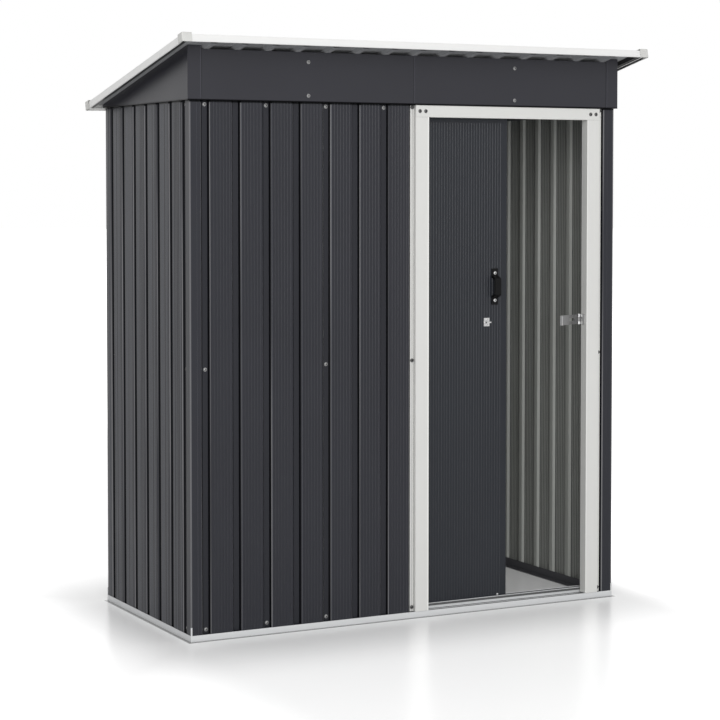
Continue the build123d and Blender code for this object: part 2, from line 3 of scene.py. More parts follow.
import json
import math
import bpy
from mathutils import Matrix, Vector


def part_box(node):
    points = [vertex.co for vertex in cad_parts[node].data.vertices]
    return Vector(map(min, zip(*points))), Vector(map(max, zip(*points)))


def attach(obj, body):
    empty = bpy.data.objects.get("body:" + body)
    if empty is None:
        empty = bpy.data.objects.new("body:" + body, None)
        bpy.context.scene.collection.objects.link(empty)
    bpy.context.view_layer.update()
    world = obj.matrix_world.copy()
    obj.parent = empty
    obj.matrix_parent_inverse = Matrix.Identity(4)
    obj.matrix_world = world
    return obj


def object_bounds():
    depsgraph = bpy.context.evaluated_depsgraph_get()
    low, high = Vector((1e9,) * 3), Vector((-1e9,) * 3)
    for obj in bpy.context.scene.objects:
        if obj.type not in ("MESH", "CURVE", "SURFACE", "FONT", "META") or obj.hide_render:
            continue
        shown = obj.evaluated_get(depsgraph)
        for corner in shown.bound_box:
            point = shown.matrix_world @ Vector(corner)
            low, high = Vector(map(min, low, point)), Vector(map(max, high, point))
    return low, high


bl_info = {
    "name": "Metal storage shed",
    "version": (1, 0, 0),
    "blender": (4, 5, 0),
    "location": "View3D > Sidebar > Shed",
    "description": "Paints a ribbed sheet metal shed, fits its screws and sets a plain studio",
    "category": "Object",
}

import bmesh
import bpy
from bpy.props import FloatProperty, FloatVectorProperty, IntProperty, PointerProperty
from bpy.types import Operator, Panel, PropertyGroup
from mathutils import Vector

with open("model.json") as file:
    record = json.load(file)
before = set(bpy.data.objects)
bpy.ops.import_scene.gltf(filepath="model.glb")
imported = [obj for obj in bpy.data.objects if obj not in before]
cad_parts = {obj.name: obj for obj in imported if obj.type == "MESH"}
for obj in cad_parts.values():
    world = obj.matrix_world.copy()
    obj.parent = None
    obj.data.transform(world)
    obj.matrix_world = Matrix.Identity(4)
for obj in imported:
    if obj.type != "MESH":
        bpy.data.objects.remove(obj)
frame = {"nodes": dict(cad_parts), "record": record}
cad_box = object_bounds()

rightward = Vector((1, 0, 0))
backward = Vector((0, 1, 0))
upward = Vector((0, 0, 1))

# Places read from the frame, in metres
wall_left, wall_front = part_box("corner_front_left")[0].xy
wall_right, wall_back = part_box("corner_back_right")[1].xy
wall_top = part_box("fascia_left")[0].z
wall_middle = (wall_front + wall_back) / 2
flange_left, opening_left = [corner.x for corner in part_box("door_jamb_left")]
opening_right, flange_right = [corner.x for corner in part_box("door_jamb_right")]

# How far a panel runs past its last rib valley, in metres, and the rib pitches of each face
sheet_lap = 0.0083
front_pitches = 7
back_pitches = 14
side_pitches = 6
roof_panel_pitches = 4

# The width of the door frame's face beside the opening, past which its flange is screwed, in metres
frame_face = 0.048

# Screws of the door frame, the fascia and the roof, in metres: the frame's from its head and ends, the
# fascia's from the middle of the front and from the walls' top, the roof's from the walls' planes
frame_head_row = 0.0085
header_screws = (0.0145, 0.0356)
fascia_screw_side = 0.3711
fascia_screw_rows = (0.0195, 0.1225)
roof_front_row = 0.022
roof_back_row = 0.014

# The screws of the door's fittings, in metres from the fitting's or the leaf's edges
pull_screw = 0.0145
pull_washer_share = 0.9
staple_screw = 0.005
guide_screw_side = 0.032
guide_screw_row = 0.0295
hinge_screw = 0.006
hinge_screw_back = 0.0075

# How far a screw's seat is looked for on each side of the place given for it, in metres
seat_reach = 0.05
roof_seat_reach = 0.26
hinge_seat_reach = 0.02

# How a screw's mesh is welded, in metres, and the turn between faces that stays a sharp edge
weld_distance = 0.00001
smooth_angle = math.radians(35.0)

# Bands of depth below a wall's plane, in metres: begins, is full, starts to fade, ends
groove_band = (0.0001, 0.0004, 0.0009, 0.0012)
crease_shade_band = (0.0010, 0.0014, 0.0034, 0.0044)
crest_highlight_band = (0.0012, 0.0018, 0.0036, 0.0050)

# Smooth steps over a distance in metres, from none to full
valley_side = (0.0036, 0.0062)
valley_floor = (0.0090, 0.0102)
bar_highlight_step = (0.0040, 0.0050)
corner_highlight_step = (0.0030, 0.0042)
lip_shadow = (0.006, 0.012)
head_shadow = (wall_top - 0.0065, wall_top - 0.0040)
fascia_foot_shadow = (wall_top + 0.0022, wall_top + 0.0042)
contact_shadow = (0.004, 0.013)
inside_step = (-0.03, 0.0)

# How far the base rails stand out of the walls' corners, in metres
rail_reach = 0.0015

# Half the width of the painted shadow and highlight lines at a lap of the flashing, the gables' laps as
# distances from a corner, the place of the fascia's joint, and the length of the painted highlight on the
# hasp's tip and of the step beside it, in metres
seam_width = 0.0013
gable_lap = 0.035
fascia_joint = 0.0001
strap_tip = 0.010
tip_step = 0.001

# Linear colours of painted highlights in the walls' grooves, down their corners, on their crest edges and
# on the hasp's tip, and of the floor in and out of a painted contact shadow
groove_highlight = (0.135, 0.14, 0.16)
corner_highlight = (0.17, 0.17, 0.18)
crest_highlight = (0.20, 0.20, 0.21)
tip_highlight = (0.85, 0.85, 0.85)
contact_shadow_colour = (0.10, 0.10, 0.10)
floor_white = (0.92, 0.92, 0.92)

# Shares of a finish's own colour that its painted shade and painted highlights take
corner_shade_share = 0.22
wall_shade_share = 0.22
lap_shadow_share = 0.25
lap_highlight_share = 2.2
foot_shadow_share = 0.15
bar_highlight_share = 1.30
crease_shade_share = 0.15
lip_share = 0.05
recess_shade_share = 0.04

# How much of the paint painted shade and highlights cover, how metallic painted shade is, and how much of
# a valley's floor stays clear of it
mark_cover = 0.8
foot_shadow_metal = 0.8
wall_shade_metal = 0.75
valley_clear = 0.86

# Noises of the painted highlights as patches per metre, their squeeze along the ribs, and the smooth steps
# taken over them
streak_scale = 75.0
streak_squeeze = 0.002
streak_step = (0.44, 0.56)
crest_highlight_scale = 11.0
crest_highlight_squeeze = 0.06
crest_highlight_step = (0.36, 0.60, 0.12, 1.0)

# How far painted shade reaches from a corner, in metres, and how open a place is where it is full and
# where it ends, as a share of its surroundings
corner_shade_reach = 0.005
corner_shade_step = (0.42, 0.80)

# A satin paint's patches per metre, its bump's depth and rounded edges in metres, and how far its
# roughness varies
cloud_scale = 5.0
grain_scale = 160.0
peel_scale = 900.0
peel_strength = 0.12
bump_depth = 0.0002
edge_radius = 0.0010
cloud_roughness = 0.10
grain_roughness = 0.06
coat_roughness = 0.12

# The cross recess painted as shade on a screw's head, in metres: half its width, half its length, and its
# height
recess_width = 0.0007
recess_length = 0.0024
recess_height = 0.0030

# Painted lines as (axis, low, high, share of the colour): painted shadows along the bottom track's front,
# then painted highlights on the jambs' inner edges and painted shade in the fold in the left one's flange
flange_fold = flange_left + 0.0068
track_shadow_lines = ((2, 0.0115, 0.0135, 0.15), (2, 0.0155, 0.0175, 0.15), (2, 0.0255, 0.0330, 0.15))
jamb_highlight_and_shade_lines = (
    (0, opening_left - 0.0042, opening_left - 0.0006, 1.25),
    (0, opening_right + 0.0006, opening_right + 0.0042, 1.15),
    (0, flange_fold, flange_fold + 0.0014, 0.45),
)

# The camera's place and turn that a fit to the photograph gave, in metres and degrees
camera_place = (-3.14, -5.9774, 1.3773)
camera_dip = 2.449
camera_turn = 27.51
camera_shift = -0.12
sensor_width = 36.0

# The lights' sizes and places and the point they are turned to, and the floor's radius, in metres
key_size = 4.0
key_place = Vector((-3.2, -6.6, 4.8))
fill_size = 2.5
fill_place = Vector((-1.8, -6.5, 1.5))
lit_point = Vector((0, 0, 0.9))
floor_radius = 60.0


def pick(name, default, description, **settings):
    """A length or share that can be changed in the sidebar."""
    return FloatProperty(name=name, default=default, description=description, **settings)


def tint(name, default, description):
    """A linear colour that can be changed in the sidebar."""
    return FloatVectorProperty(
        name=name, default=default, description=description, subtype="COLOR", min=0.0, max=1.0
    )


class ShedColours(PropertyGroup):
    """Base colours of the finishes."""

    sheet: tint("Ribbed sheet", (0.0190, 0.0200, 0.0270), "Outside paint of walls and roof")
    back_coat: tint("Back coat", (0.36, 0.37, 0.35), "Inside paint of the ribbed sheets")
    soffit: tint("Roof's back coat", (0.27, 0.275, 0.285), "Underside paint of the roof sheets")
    flashing: tint("Flashing", (0.026, 0.0262, 0.0335), "Paint of the fascia and gables")
    frame: tint("Door frame", (0.72, 0.72, 0.70), "Paint of the door frame")
    trim: tint("Roof trim", (0.84, 0.84, 0.83), "Paint of the roof's edge trims")
    # The side trims' inner faces take a dark back coat, darkened further as painted shade
    trim_back_and_shade: tint("Roof trim's back", (0.045, 0.045, 0.048), "Paint of the side trims' inner faces")
    caps: tint("Corner caps", (0.64, 0.64, 0.62), "Plastic of the roof's corner caps")
    rail: tint("Base rail", (0.70, 0.71, 0.72), "Coating of the base rails and the bottom track")
    inner_rail: tint("Inner rails", (0.10, 0.10, 0.11), "Coating of the rails inside")
    door: tint("Door sheet", (0.0140, 0.0165, 0.0225), "Paint of the sliding leaf")
    pull: tint("Pull", (0.004, 0.004, 0.0045), "Plastic of the door pull")
    lock: tint("Lock parts", (0.66, 0.66, 0.66), "Zinc plating of the staple and the hasp's hinge")
    strap: tint("Hasp's strap", (0.26, 0.26, 0.26), "Dull zinc of the swinging strap")
    zinc: tint("Bright screws", (0.62, 0.62, 0.62), "Zinc plating of the pull's and lock's screws")
    screw: tint("Wall screws", (0.34, 0.34, 0.34), "Weathered zinc of the wall, fascia and roof screws")
    dull_screw: tint("Frame screws", (0.13, 0.13, 0.13), "Dark zinc of the door frame's screws")
    nylon: tint("Glides", (0.020, 0.020, 0.022), "Nylon of the door's hangers and guides")


class ShedScrews(PropertyGroup):
    """Sizes of the screws and of the rows that they stand in."""

    head_radius: pick("Head radius", 0.0042, "Radius of a screw's head", unit="LENGTH")
    head_height: pick("Head height", 0.0026, "Height of a screw's head", unit="LENGTH")
    washer_radius: pick("Washer radius", 0.0060, "Radius of the washer under it", unit="LENGTH")
    washer_height: pick("Washer height", 0.0010, "Thickness of the washer", unit="LENGTH")
    sides: IntProperty(name="Sides", default=14, min=6, max=24, description="Sides of a screw's head")
    small_share: pick("Small screws", 0.62, "Size of the lock's and the leaf's screws", subtype="FACTOR")
    foot_row: pick("Foot row", 0.034, "Height of the lowest row of screws", unit="LENGTH")
    middle_row: pick("Middle row", 0.824, "Height of the row at the lapped seams", unit="LENGTH")
    head_row: pick("Head row", 0.012, "Drop of the highest row under the walls' top", unit="LENGTH")


class ShedStudio(PropertyGroup):
    """Strengths of the lights and of the studio round the shed."""

    key: pick("Key light", 130.0, "Power of the large soft light", unit="POWER")
    fill: pick("Fill light", 90.0, "Power of the low light before the doorway", unit="POWER")
    ambient: pick("Ambient", 0.60, "Strength of the light from all round", subtype="FACTOR")
    lens: pick("Lens", 102.34, "Focal length of the camera in millimetres")
    floor_lift: pick("Floor lift", 0.40, "White that the open floor adds to its own", subtype="FACTOR")
    near_share: pick("Near share", 0.25, "Share of that lift right beside the walls", subtype="FACTOR")
    inside_lift: pick("Inside lift", 0.10, "White that the ground inside adds", subtype="FACTOR")
    side_lift: pick("Side lift", 0.45, "White that the floor at both sides adds", subtype="FACTOR")
    left_loss: pick("Left loss", 0.25, "White that the left side adds less than that", subtype="FACTOR")
    floor_reach: pick("Floor reach", 0.55, "Distance at which the floor turns plain white", unit="LENGTH")


class Value:
    """A socket that carries a number, so that shader maths reads as an expression."""

    def __init__(self, tree, socket):
        self.tree = tree
        self.socket = socket

    def maths(self, operation, *inputs):
        """A Math node on the values and numbers given."""
        return self.tree.node("ShaderNodeMath", {"operation": operation}, dict(enumerate(inputs)))

    def least(self, other):
        return self.maths("MINIMUM", self, other)

    def most(self, other):
        return self.maths("MAXIMUM", self, other)

    def sign(self):
        return self.maths("SIGN", self)

    def __add__(self, other):
        return self.maths("ADD", self, other)

    def __radd__(self, other):
        return self.maths("ADD", other, self)

    def __sub__(self, other):
        return self.maths("SUBTRACT", self, other)

    def __rsub__(self, other):
        return self.maths("SUBTRACT", other, self)

    def __mul__(self, other):
        return self.maths("MULTIPLY", self, other)

    def __rmul__(self, other):
        return self.maths("MULTIPLY", other, self)

    def __truediv__(self, other):
        return self.maths("DIVIDE", self, other)

    def __gt__(self, other):
        return self.maths("GREATER_THAN", self, other)

    def __lt__(self, other):
        return self.maths("LESS_THAN", self, other)

    def __abs__(self):
        return self.maths("ABSOLUTE", self)


class Tree:
    """A node tree, with one method that adds any node."""

    def __init__(self, tree):
        self.tree = tree
        self.tree.nodes.clear()

    def node(self, kind, settings=None, inputs=None, output=0):
        """Adds a node: its type, its settings, then the values or links of its sockets."""
        made = self.tree.nodes.new(kind)
        for name, value in (settings or {}).items():
            setattr(made, name, value)
        for name, value in (inputs or {}).items():
            if isinstance(value, Value):
                self.tree.links.new(value.socket, made.inputs[name])
            else:
                made.inputs[name].default_value = value
        if made.outputs:
            return Value(self, made.outputs[output])
        return None

    def split(self, vector):
        """The three parts of a vector."""
        first = self.node("ShaderNodeSeparateXYZ", {}, {0: vector})
        return [Value(self, socket) for socket in first.socket.node.outputs]

    def noise(self, place, scale, detail=2.0):
        """Soft noise, with a number of patches per metre."""
        inputs = {"Vector": place, "Scale": scale, "Detail": detail, "Roughness": 0.5}
        return self.node("ShaderNodeTexNoise", {}, inputs)

    def drawn_out(self, place, share):
        """A place squeezed in height, so that its noise is drawn out along upright ribs."""
        settings = {"operation": "MULTIPLY"}
        return self.node("ShaderNodeVectorMath", settings, {0: place, 1: (1.0, 1.0, share)})

    def ramp(self, value, low, high, start=0.0, end=1.0):
        """A smooth step of a value from low to high."""
        inputs = {"Value": value, "From Min": low, "From Max": high, "To Min": start, "To Max": end}
        return self.node("ShaderNodeMapRange", {"interpolation_type": "SMOOTHSTEP"}, inputs)

    def band(self, value, begin, full, fade, end):
        """1 from full to fade, with a smooth step to 0 at begin and at end."""
        return self.ramp(value, begin, full) * (1 - self.ramp(value, fade, end))

    def blend(self, factor, first, second):
        """A mix of two colours."""
        settings = {"data_type": "RGBA", "clamp_factor": True}
        return self.node("ShaderNodeMix", settings, {0: factor, 6: first, 7: second}, 2)

    def bump(self, height, strength, **inputs):
        """A shallow bump from a height."""
        sockets = {"Strength": strength, "Distance": bump_depth, "Height": height, **inputs}
        return self.node("ShaderNodeBump", {}, sockets)


def shader_tree(name):
    """A new material and its empty tree."""
    material = bpy.data.materials.new(name)
    material.use_nodes = True
    return material, Tree(material.node_tree)


def finish_surface(tree, inputs):
    """The one surface shader of a material."""
    surface = tree.node("ShaderNodeBsdfPrincipled", {}, inputs)
    tree.node("ShaderNodeOutputMaterial", {}, {"Surface": surface})


def rgba(colour, share=1.0):
    """A colour for a socket, made lighter or darker by a share."""
    return (*[channel * share for channel in colour], 1.0)


def cloudy(tree, cloud, colour, spread):
    """A colour that a cloud makes lighter and darker by up to a share of it."""
    return tree.blend(cloud, rgba(colour, 1 - spread), rgba(colour, 1 + spread))


def outside_of_walls(tree, place, normal):
    """1 where a wall's sheet faces out and 0 where it faces in.

    With it come the depth below the wall's plane, and the distance from the next wall's plane.
    """
    x, y, _ = tree.split(place)
    nx, ny, _ = tree.split(normal)
    side_depth = wall_right - abs(x)
    end_depth = (wall_back - wall_front) / 2 - abs(y - wall_middle)
    out_x = nx * x.sign()
    out_y = ny * (y - wall_middle).sign()
    on_end = end_depth < side_depth
    outward = (on_end * out_y + (1 - on_end) * out_x) > 0.0
    return outward, side_depth.least(end_depth), side_depth.most(end_depth)


def outside_of_roof(tree, place, normal):
    """1 where a roof sheet faces up and 0 where it faces down.

    With it come no depth, and the distance from the lips of the trims.
    """
    x, y, _ = tree.split(place)
    _, _, nz = tree.split(normal)
    side = -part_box("roof_trim_left")[1].x - abs(x)
    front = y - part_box("roof_trim_front")[1].y
    return nz > 0.0, None, side.least(front)


def outside_of_trims(tree, place, normal):
    """0 where a side trim faces across the shed and 1 elsewhere, with no depth and no distance."""
    x, _, _ = tree.split(place)
    nx, _, _ = tree.split(normal)
    return nx * x.sign() > -0.5, None, None


def paint_corner_shade(tree, paint, colour, reach):
    """Painted shade in corners and where parts meet, out to a reach in metres."""
    inputs = {"Distance": reach}
    # Ambient occlusion darkens the paint where corners and meeting parts shut out light: painted shade
    clear = tree.node("ShaderNodeAmbientOcclusion", {"samples": 6}, inputs, output="AO")
    corner_shaded = 1 - tree.ramp(clear, *corner_shade_step)
    return tree.blend(corner_shaded * mark_cover, paint, rgba(colour, corner_shade_share))


def paint_lines(tree, place, paint, colour, lines):
    """Straight lines of painted shade and painted highlight, each given as (axis, low, high, share of the
    colour).
    """
    axes = tree.split(place)
    for axis, low, high, share in lines:
        inside = (axes[axis] > low) * (axes[axis] < high)
        paint = tree.blend(inside, paint, rgba(colour, share))
    return paint


def paint_seams(tree, place, paint, colour, laps):
    """The flashing's upright laps, each a painted shadow line beside a painted highlight on its edge, and
    painted shade along its foot.
    """
    x, _, z = tree.split(place)
    dark, bright = 0.0, 0.0
    for lap in laps:
        aside = math.copysign(seam_width, lap)
        dark = dark + (abs(x - (lap - aside)) < seam_width)
        bright = bright + (abs(x - (lap + aside)) < seam_width)
    # A painted shadow line beside each lap and a painted highlight on its edge
    paint = tree.blend(dark * mark_cover, paint, rgba(colour, lap_shadow_share))
    paint = tree.blend(bright * mark_cover, paint, rgba(colour, lap_highlight_share))
    # Painted shade along the fascia's foot above the walls' top, which also takes the gloss off
    fold = 1 - tree.ramp(z, *fascia_foot_shadow)
    return tree.blend(fold, paint, rgba(colour, foot_shadow_share)), fold * foot_shadow_metal


def paint_ribs(tree, place, normal, paint, colour, depth, corner_away):
    """A wall's outside: painted highlights in streaks on the side walls' grooves, down the corner and on
    crest edges, and painted shade in the valleys and under the walls' top.
    """
    _, _, z = tree.split(place)
    nx, _, _ = tree.split(normal)
    # Painted highlights in streaks along the fine grooves of the side walls
    streaks = tree.noise(tree.drawn_out(place, streak_squeeze), streak_scale, 0.0)
    on_side_wall = abs(nx) > 0.6
    grooves = tree.band(depth, *groove_band) * on_side_wall * tree.ramp(streaks, *streak_step)
    # A painted highlight down the walls' corners
    corner = 1 - tree.ramp(corner_away, *corner_highlight_step)
    # Painted highlights in patches along the crests' edges
    patches = tree.noise(tree.drawn_out(place, crest_highlight_squeeze), crest_highlight_scale)
    crest_highlights = tree.band(depth, *crest_highlight_band) * tree.ramp(patches, *crest_highlight_step)
    # Painted shade in the valleys, lighter on their floors, and under the walls' top
    wall_shade = tree.ramp(depth, *valley_side) * (1 - valley_clear * tree.ramp(depth, *valley_floor))
    wall_shade = wall_shade.most(tree.ramp(z, *head_shadow))
    paint = tree.blend(grooves, paint, rgba(groove_highlight))
    paint = tree.blend(corner * mark_cover, paint, rgba(corner_highlight))
    paint = tree.blend(crest_highlights, paint, rgba(crest_highlight))
    return tree.blend(wall_shade, paint, rgba(colour, wall_shade_share)), wall_shade


def coat_ribs(tree, coat, back, depth):
    """A wall's inside: each rib takes a painted highlight as a bright bar, with painted shade in a crease
    at both its sides.
    """
    # A painted highlight on each rib that stands in, and painted shade in the creases beside it
    coat = tree.blend(tree.ramp(depth, *bar_highlight_step), coat, rgba(back, bar_highlight_share))
    return tree.blend(tree.band(depth, *crease_shade_band), coat, rgba(back, crease_shade_share))


def satin_paint(
    name,
    colour,
    roughness=0.32,
    mottle=0.10,
    gloss=0.34,
    corner_shade=None,
    lines=(),
    laps=(),
    back=None,
    outside=None,
):
    """Baked satin paint with mottling and orange peel, and with the painted shade and highlights that its
    sheet takes.

    outside is the function that finds the sheet's outer side, and back is the colour of the inner one.
    """
    material, tree = shader_tree(name)
    place = tree.node("ShaderNodeTexCoord", output="Object")
    cloud = tree.noise(place, cloud_scale, 3.0)
    grain = tree.noise(place, grain_scale)
    paint = cloudy(tree, cloud, colour, mottle)
    sheen = roughness + (cloud - 0.5) * cloud_roughness + (grain - 0.5) * grain_roughness
    metal = 0.0
    # Painted shade in corners and where parts meet
    if corner_shade:
        paint = paint_corner_shade(tree, paint, colour, corner_shade)
    if lines:
        paint = paint_lines(tree, place, paint, colour, lines)
    if laps:
        paint, metal = paint_seams(tree, place, paint, colour, laps)
    if outside:
        normal = tree.node("ShaderNodeTexCoord", output="Normal")
        outward, depth, edge_away = outside(tree, place, normal)
        coat = cloudy(tree, cloud, back, mottle)
        if depth:
            paint, wall_shade = paint_ribs(tree, place, normal, paint, colour, depth, edge_away)
            # Painted shade also takes the gloss off the valleys and the walls' top
            metal = wall_shade * outward * wall_shade_metal
            coat = coat_ribs(tree, coat, back, depth)
            sheen = sheen + (1 - outward) * coat_roughness
        elif edge_away:
            shaded = 1 - tree.ramp(edge_away, *lip_shadow)
            coat = tree.blend(shaded, coat, rgba(back, lip_share))
        paint = tree.blend(outward, coat, paint)
    rounded = tree.node("ShaderNodeBevel", {"samples": 4}, {"Radius": edge_radius})
    peel = tree.noise(place, peel_scale, 1.0)
    surface = {
        "Base Color": paint,
        "Metallic": metal,
        "Roughness": sheen,
        "Specular IOR Level": gloss,
        "Normal": tree.bump(peel, peel_strength, Normal=rounded),
    }
    finish_surface(tree, surface)
    return material


def moulded_plastic(name, colour, roughness=0.45, gloss=0.45):
    """Fine-grained moulded plastic."""
    material, tree = shader_tree(name)
    place = tree.node("ShaderNodeTexCoord", output="Object")
    cloud = tree.noise(place, 30.0)
    grain = tree.noise(place, 1400.0, 1.0)
    surface = {
        "Base Color": cloudy(tree, cloud, colour, 0.08),
        "Roughness": roughness + (cloud - 0.5) * 0.1,
        "Specular IOR Level": gloss,
        "Normal": tree.bump(grain, 0.25),
    }
    finish_surface(tree, surface)
    return material


def zinc_plate(name, colour, tip=None):
    """Zinc plating with its cloudy bloom and rolling marks, and a painted highlight on the tip left of a
    place.
    """
    material, tree = shader_tree(name)
    place = tree.node("ShaderNodeTexCoord", output="Object")
    bloom = tree.noise(place, 120.0, 4.0)
    marks = tree.noise(place, 700.0)
    plating = cloudy(tree, bloom, colour, 0.15)
    if tip:
        x, _, _ = tree.split(place)
        # A painted highlight on the strap's rounded tip
        plating = tree.blend(1 - tree.ramp(x, tip, tip + tip_step), plating, rgba(tip_highlight))
    surface = {
        "Base Color": plating,
        "Metallic": 0.9,
        "Roughness": 0.32 + (bloom - 0.5) * 0.25,
        "Normal": tree.bump(marks, 0.15),
    }
    finish_surface(tree, surface)
    return material


def screw_metal(name, colour):
    """Zinc plated screw with its cross recess painted as shade in the middle of its head."""
    material, tree = shader_tree(name)
    place = tree.node("ShaderNodeTexCoord", output="Object")
    local = tree.node("ShaderNodeAttribute", {"attribute_name": "screw_place"}, output="Vector")
    x, y, z = tree.split(local)
    narrow = abs(x).least(abs(y))
    wide = abs(x).most(abs(y))
    # The cross recess is only painted: painted shade on the head's flat top, and rougher there
    recess = (narrow < recess_width) * (wide < recess_length) * (z > recess_height)
    bloom = tree.noise(place, 300.0)
    plating = tree.blend(bloom, rgba(colour, 0.85), rgba(colour, 1.1))
    surface = {
        "Base Color": tree.blend(recess, plating, rgba(colour, recess_shade_share)),
        "Metallic": 0.85,
        "Roughness": 0.30 + (bloom - 0.5) * 0.2 + recess * 0.4,
    }
    finish_surface(tree, surface)
    return material


def dress(material, *nodes):
    """Puts a finish on CAD nodes."""
    for name in nodes:
        for slot in frame["nodes"][name].material_slots:
            slot.material = material


def nodes_with_slot(slot):
    """The CAD nodes that take a material slot of the record."""
    return [part["node"] for part in frame["record"]["subparts"] if part["material_slot"] == slot]


def geometry_tree(name, sizes):
    """A geometry tree with named inputs for its sizes, and the values of those inputs."""
    group = bpy.data.node_groups.new(name, "GeometryNodeTree")
    group.interface.new_socket("Geometry", in_out="INPUT", socket_type="NodeSocketGeometry")
    for size, kind in sizes.items():
        group.interface.new_socket(size, in_out="INPUT", socket_type=kind)
    group.interface.new_socket("Geometry", in_out="OUTPUT", socket_type="NodeSocketGeometry")
    tree = Tree(group)
    start = group.nodes.new("NodeGroupInput")
    given = {socket.name: Value(tree, socket) for socket in start.outputs if socket.name}
    return group, tree, given


def step_up(tree, mesh, top, lift, ratio):
    """Raises the top face and then scales it, which leaves one ring of faces behind."""
    extruded = {"Mesh": mesh, "Selection": top, "Offset Scale": lift}
    raised = tree.node("GeometryNodeExtrudeMesh", {"mode": "FACES"}, extruded)
    new_top = Value(tree, raised.socket.node.outputs["Top"])
    resized = {"Geometry": raised, "Selection": new_top, "Scale": ratio}
    return tree.node("GeometryNodeScaleElements", {"domain": "FACE"}, resized), new_top


def turned_head(tree, sides, base_radius, steps):
    """A closed low turned shape on a flat foot, from steps of (lift, ratio)."""
    settings = {"fill_type": "NGON"}
    disc = tree.node("GeometryNodeMeshCircle", settings, {"Vertices": sides, "Radius": base_radius})
    mesh, top = disc, True
    for lift, ratio in steps:
        mesh, top = step_up(tree, mesh, top, lift, ratio)
    foot = tree.node("GeometryNodeFlipFaces", {}, {"Mesh": disc})
    both = tree.node("GeometryNodeJoinGeometry", {}, {"Geometry": mesh})
    tree.tree.links.new(foot.socket, both.socket.node.inputs["Geometry"])
    return tree.node("GeometryNodeMergeByDistance", {}, {"Geometry": both, "Distance": weld_distance})


def scatter(tree, seats, piece, material, seed):
    """Stands a piece on every seat, turned to its facing, as real geometry with its material."""
    vectors = {"data_type": "FLOAT_VECTOR"}
    place = tree.node("GeometryNodeInputPosition")
    kept = tree.node(
        "GeometryNodeStoreNamedAttribute",
        {**vectors, "domain": "POINT"},
        {"Geometry": piece, "Name": "screw_place", "Value": place},
    )
    facing = tree.node("GeometryNodeInputNamedAttribute", vectors, {"Name": "facing"})
    turn = tree.node("FunctionNodeAlignRotationToVector", {"axis": "Z"}, {"Vector": facing})
    draw = {2: 0.0, 3: math.tau, "Seed": seed}
    angle = tree.node("FunctionNodeRandomValue", {"data_type": "FLOAT"}, draw, 1)
    spin = {"Axis": upward, "Angle": angle}
    about = tree.node("FunctionNodeAxisAngleToRotation", {}, spin)
    turned = tree.node(
        "FunctionNodeRotateRotation",
        {"rotation_space": "LOCAL"},
        {"Rotation": turn, "Rotate By": about},
    )
    standing = {"Points": seats, "Instance": kept, "Rotation": turned}
    stood = tree.node("GeometryNodeInstanceOnPoints", {}, standing)
    real = tree.node("GeometryNodeRealizeInstances", {}, {"Geometry": stood})
    done = tree.node("GeometryNodeSetMaterial", {}, {"Geometry": real, "Material": material})
    tree.node("NodeGroupOutput", {}, {"Geometry": done})


def screw_tree():
    """The tree of pan head screws on washers, one at each seat, which is built at its first use."""
    name = "screws_on_washers"
    if name in bpy.data.node_groups:
        return bpy.data.node_groups[name]
    sizes = {
        "Head radius": "NodeSocketFloat",
        "Head height": "NodeSocketFloat",
        "Washer radius": "NodeSocketFloat",
        "Washer height": "NodeSocketFloat",
        "Sides": "NodeSocketInt",
        "Material": "NodeSocketMaterial",
        "Seed": "NodeSocketInt",
    }
    group, tree, given = geometry_tree(name, sizes)
    # The washer's rim, its flat top, and three rings that round the head over
    steps = [
        (given["Washer height"], 1.0),
        (0.0, given["Head radius"] / given["Washer radius"]),
        (given["Head height"] * 0.55, 0.96),
        (given["Head height"] * 0.30, 0.80),
        (given["Head height"] * 0.15, 0.70),
    ]
    head = turned_head(tree, given["Sides"], given["Washer radius"], steps)
    scatter(tree, given["Geometry"], head, given["Material"], given["Seed"])
    return group


def screw_inputs(material, seed, share=1.0):
    """The sidebar's screw sizes, or a share of them, for the screw tree."""
    sizes = bpy.context.scene.shed_screws
    return {
        "Head radius": sizes.head_radius * share,
        "Head height": sizes.head_height * share,
        "Washer radius": sizes.washer_radius * share,
        "Washer height": sizes.washer_height * share,
        "Sides": sizes.sides,
        "Material": material,
        "Seed": seed,
    }


def seat_on_sheet(near, direction, reach=seat_reach):
    """Where a screw driven along a direction meets the sheet, and the way that the sheet faces."""
    depsgraph = bpy.context.evaluated_depsgraph_get()
    start = near - direction * reach
    hit, place, normal, *_ = bpy.context.scene.ray_cast(depsgraph, start, direction, distance=2 * reach)
    if not hit:
        raise RuntimeError(f"no sheet under a screw at {tuple(near)}")
    if normal.dot(direction) > 0:
        normal = -normal
    return place, normal


def fit_screws(name, seats, inputs, body):
    """Runs the screw tree over the seats and keeps its result as one plain piece on a body."""
    points = bpy.data.meshes.new(name + "_seats")
    points.from_pydata([place for place, facing in seats], [], [])
    facings = points.attributes.new("facing", "FLOAT_VECTOR", "POINT")
    for index, (place, facing) in enumerate(seats):
        facings.data[index].vector = facing
    maker = bpy.data.objects.new(name + "_maker", points)
    bpy.context.scene.collection.objects.link(maker)
    modifier = maker.modifiers.new("fittings", "NODES")
    modifier.node_group = screw_tree()
    for item in modifier.node_group.interface.items_tree:
        if item.in_out == "INPUT" and item.name in inputs:
            modifier[item.identifier] = inputs[item.name]
    depsgraph = bpy.context.evaluated_depsgraph_get()
    mesh = bpy.data.meshes.new_from_object(maker.evaluated_get(depsgraph), depsgraph=depsgraph)
    bpy.data.objects.remove(maker)
    mesh.name = name
    mesh.shade_smooth()
    mesh.set_sharp_from_angle(angle=smooth_angle)
    piece = bpy.data.objects.new(name, mesh)
    bpy.context.scene.collection.objects.link(piece)
    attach(piece, body)


